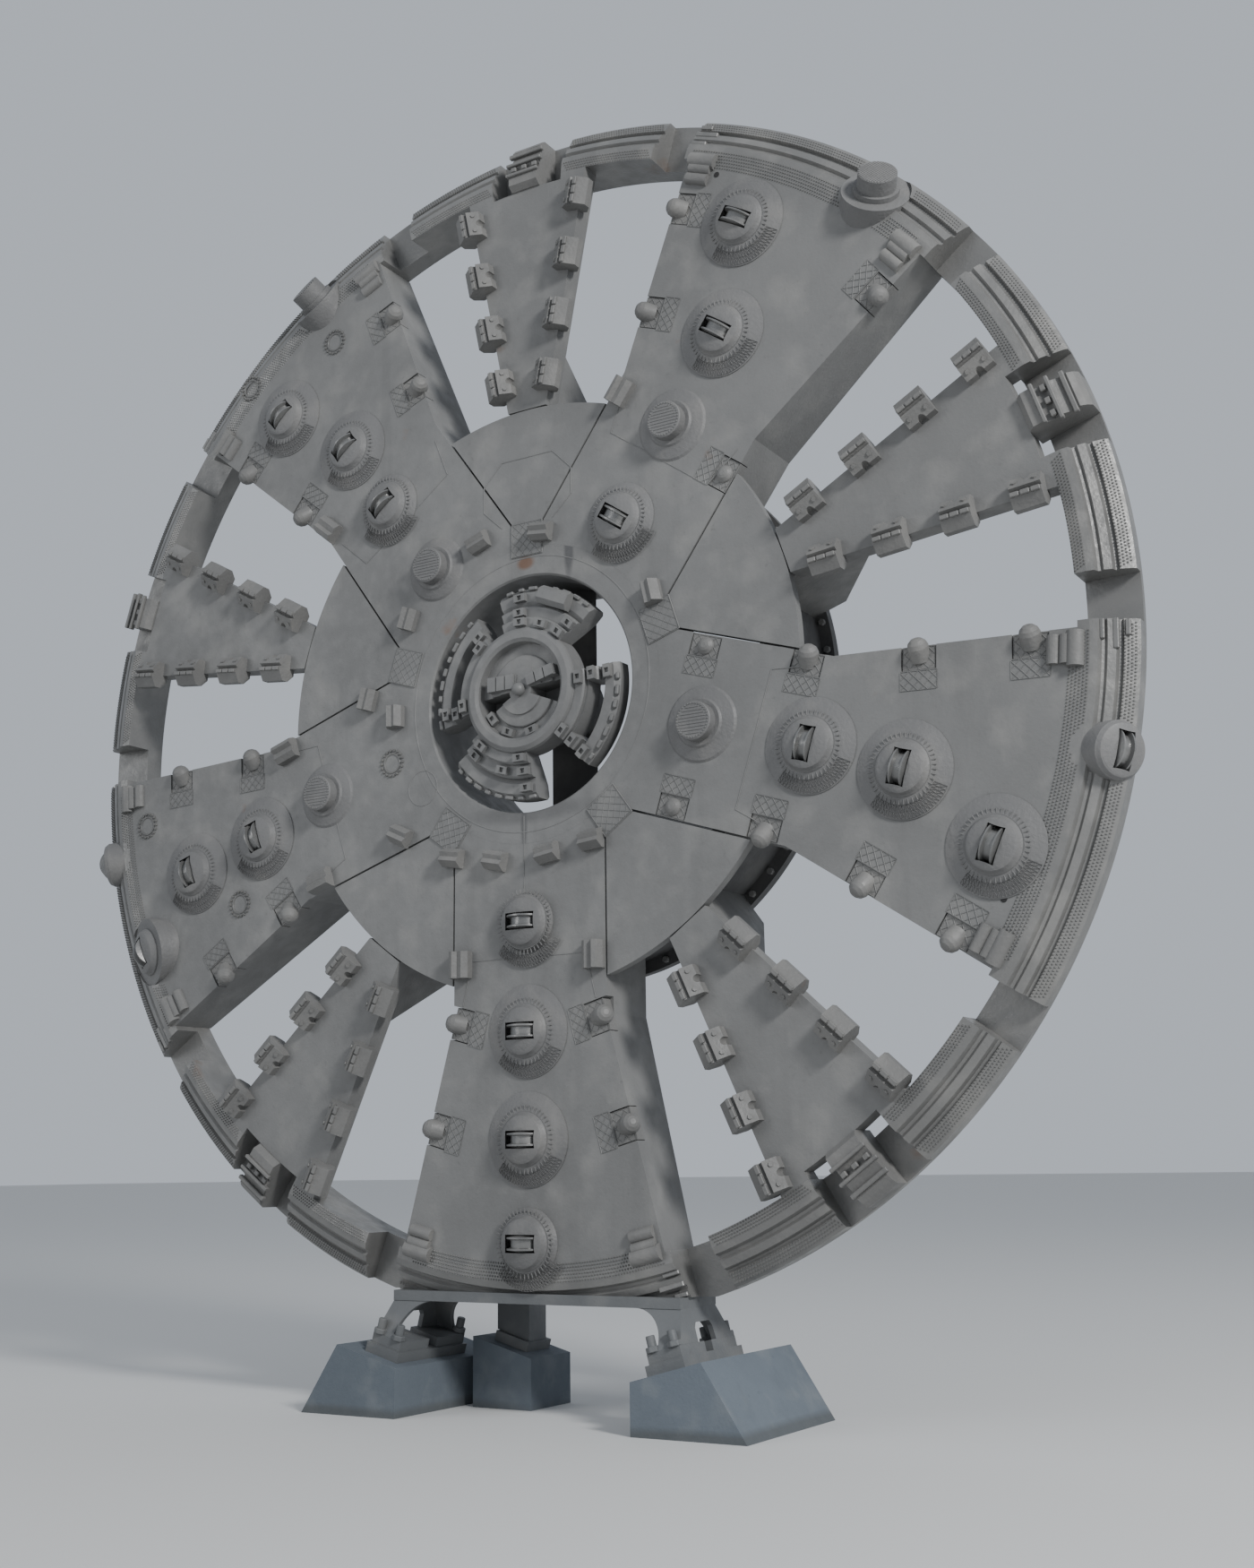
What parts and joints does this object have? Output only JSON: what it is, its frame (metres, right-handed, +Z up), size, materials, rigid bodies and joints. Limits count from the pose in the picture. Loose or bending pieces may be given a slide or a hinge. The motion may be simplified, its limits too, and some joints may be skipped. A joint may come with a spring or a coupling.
{
  "type": "tunnel boring machine cutterhead on a display stand",
  "caption": "Large round cutterhead of a tunnel boring machine, with spokes, a ridged rim, turning disc cutters, scraper tools and a turning centre cutter, held upright on a fixed stand.",
  "frame": {"origin": "on the floor, under the middle of the stand's concrete blocks", "axes": "+Z up, the wheel's axis along Y at 8 m height with its cutting face towards -Y, +X to the right seen from the front"},
  "size_m": [14, 2, 15],
  "materials": {
    "face_paint": "matt mid grey paint, weathered, with faint rust and rain streaks",
    "inner_paint": "matt grey paint, dusty, in shade",
    "rim_steel": "matt grey paint over ridged wear-resistant welds",
    "housing_paint": "matt grey paint over rough weld rings",
    "tool_steel": "matt grey paint over rough hard-faced steel",
    "cutter_steel": "matt grey painted steel, darker in the housings",
    "centre_paint": "matt grey paint, dark in its recesses",
    "stand_paint": "matt blue grey paint",
    "concrete": "fine matt blue grey cast concrete"
  },
  "bodies": {
    "wheel_on_stand": {"spoke_a": "face_paint", "spoke_b": "face_paint", "spoke_c": "face_paint", "spoke_d": "face_paint", "spoke_e": "face_paint", "arm_ab": "face_paint", "arm_bc": "face_paint", "arm_cd": "face_paint", "arm_de": "face_paint", "arm_ea": "face_paint", "petals": "face_paint", "hub_ring": "face_paint", "hub_sleeve": "inner_paint", "hub_tube": "inner_paint", "drum": "inner_paint", "rear_flange": "inner_paint", "cross_beam": "inner_paint", "rim_front": "rim_steel", "rim_back": "rim_steel", "gate_blocks": "tool_steel", "housings_a": "housing_paint", "housings_b": "housing_paint", "housings_c": "housing_paint", "housings_d": "housing_paint", "housings_e": "housing_paint", "edge_pegs": "tool_steel", "edge_blocks": "tool_steel", "arm_scrapers": "tool_steel", "lip_bars": "tool_steel", "ring_blocks": "tool_steel", "cradle_plate": "stand_paint", "stand_legs": "stand_paint", "foot_plates": "stand_paint", "concrete_blocks": "concrete"},
    "centre_cutter": {"centre_core": "centre_paint", "centre_arcs": "centre_paint", "centre_teeth": "tool_steel"},
    "roller_a1": {"roller_a1": "cutter_steel"},
    "roller_a2": {"roller_a2": "cutter_steel"},
    "roller_a3": {"roller_a3": "cutter_steel"},
    "roller_a4": {"roller_a4": "cutter_steel"},
    "roller_b1": {"roller_b1": "cutter_steel"},
    "roller_b2": {"roller_b2": "cutter_steel"},
    "roller_b3": {"roller_b3": "cutter_steel"},
    "roller_b4": {"roller_b4": "cutter_steel"},
    "roller_c1": {"roller_c1": "cutter_steel"},
    "roller_c2": {"roller_c2": "cutter_steel"},
    "roller_c3": {"roller_c3": "cutter_steel"},
    "roller_d1": {"roller_d1": "cutter_steel"},
    "roller_d2": {"roller_d2": "cutter_steel"},
    "roller_d3": {"roller_d3": "cutter_steel"},
    "roller_e1": {"roller_e1": "cutter_steel"},
    "roller_e2": {"roller_e2": "cutter_steel"},
    "roller_e3": {"roller_e3": "cutter_steel"},
    "roller_e4": {"roller_e4": "cutter_steel"}
  },
  "joints": [
    {"name": "roller_a1_turn", "type": "hinge", "parent": "wheel_on_stand", "child": "roller_a1", "pos_m": [0, -0.641, 5.34], "axis": [0, 0, -1], "continuous": true},
    {"name": "roller_a2_turn", "type": "hinge", "parent": "wheel_on_stand", "child": "roller_a2", "pos_m": [0, -0.641, 4.125], "axis": [0, 0, -1], "continuous": true},
    {"name": "roller_a3_turn", "type": "hinge", "parent": "wheel_on_stand", "child": "roller_a3", "pos_m": [0, -0.641, 2.95], "axis": [0, 0, -1], "continuous": true},
    {"name": "roller_a4_turn", "type": "hinge", "parent": "wheel_on_stand", "child": "roller_a4", "pos_m": [0, -0.641, 1.85], "axis": [0, 0, -1], "continuous": true},
    {"name": "roller_b1_turn", "type": "hinge", "parent": "wheel_on_stand", "child": "roller_b1", "pos_m": [3.56319, -0.641, 6.89701], "axis": [0.9553, 0, -0.2957], "continuous": true},
    {"name": "roller_b2_turn", "type": "hinge", "parent": "wheel_on_stand", "child": "roller_b2", "pos_m": [4.5962, -0.641, 6.51547], "axis": [0.9516, 0, -0.3074], "continuous": true},
    {"name": "roller_b3_turn", "type": "hinge", "parent": "wheel_on_stand", "child": "roller_b3", "pos_m": [5.50562, -0.641, 5.64029], "axis": [0.9191, 0, -0.3939], "continuous": true},
    {"name": "roller_b4_turn", "type": "hinge", "parent": "wheel_on_stand", "child": "roller_b4", "pos_m": [6.68686, -0.45, 6.4685], "axis": [0.5591, 0.8192, -0.1281], "continuous": true},
    {"name": "roller_c1_turn", "type": "hinge", "parent": "wheel_on_stand", "child": "roller_c1", "pos_m": [1.28801, -0.641, 9.83266], "axis": [0.575, 0, 0.8181], "continuous": true},
    {"name": "roller_c2_turn", "type": "hinge", "parent": "wheel_on_stand", "child": "roller_c2", "pos_m": [2.65159, -0.641, 11.75887], "axis": [0.5764, 0, 0.8171], "continuous": true},
    {"name": "roller_c3_turn", "type": "hinge", "parent": "wheel_on_stand", "child": "roller_c3", "pos_m": [2.93635, -0.641, 13.02496], "axis": [0.5045, 0, 0.8634], "continuous": true},
    {"name": "roller_d1_turn", "type": "hinge", "parent": "wheel_on_stand", "child": "roller_d1", "pos_m": [-2.05761, -0.641, 10.68153], "axis": [-0.6088, 0, 0.7934], "continuous": true},
    {"name": "roller_d2_turn", "type": "hinge", "parent": "wheel_on_stand", "child": "roller_d2", "pos_m": [-2.67787, -0.641, 11.56659], "axis": [-0.6004, 0, 0.7997], "continuous": true},
    {"name": "roller_d3_turn", "type": "hinge", "parent": "wheel_on_stand", "child": "roller_d3", "pos_m": [-3.76368, -0.641, 12.25407], "axis": [-0.6626, 0, 0.749], "continuous": true},
    {"name": "roller_e1_turn", "type": "hinge", "parent": "wheel_on_stand", "child": "roller_e1", "pos_m": [-4.01799, -0.641, 6.70997], "axis": [-0.9521, 0, -0.3057], "continuous": true},
    {"name": "roller_e2_turn", "type": "hinge", "parent": "wheel_on_stand", "child": "roller_e2", "pos_m": [-5.11863, -0.641, 6.37627], "axis": [-0.9532, 0, -0.3024], "continuous": true},
    {"name": "roller_e3_turn", "type": "hinge", "parent": "wheel_on_stand", "child": "roller_e3", "pos_m": [-5.86024, -0.62, 5.42753], "axis": [-0.8299, 0.4226, -0.3643], "continuous": true},
    {"name": "roller_e4_turn", "type": "hinge", "parent": "wheel_on_stand", "child": "roller_e4", "pos_m": [-6.72935, -0.45, 6.66755], "axis": [-0.5627, 0.8192, -0.1114], "continuous": true},
    {"name": "centre_cutter_turn", "type": "hinge", "parent": "wheel_on_stand", "child": "centre_cutter", "pos_m": [0, -0.6, 8], "axis": [0, -1, 0], "continuous": true}
  ]
}
